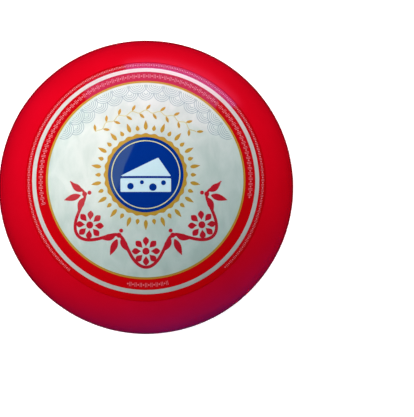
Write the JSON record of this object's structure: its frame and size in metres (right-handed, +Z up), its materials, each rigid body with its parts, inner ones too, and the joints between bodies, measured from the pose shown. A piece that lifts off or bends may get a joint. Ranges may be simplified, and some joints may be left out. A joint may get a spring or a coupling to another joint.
{
  "type": "ball of cheese",
  "caption": "Whole ball of semi-hard cheese in a smooth red coat, with a large round foil label over its crown; it stands on a small flat spot.",
  "frame": {"origin": "middle of the flat spot that the ball rests on", "axes": "+Z up along the ball's own axis through the middle of the label; +Y towards the top of the label's print; +X to its right"},
  "size_m": [0.16, 0.16, 0.1268],
  "materials": {
    "red_coat": "smooth crimson cheese coat with a soft satin shine",
    "printed_foil": "silvery foil paper with printed red, white, gold and blue rings and figures"
  },
  "bodies": {
    "root": {"cheese_ball": "red_coat", "label": "printed_foil"}
  },
  "joints": []
}
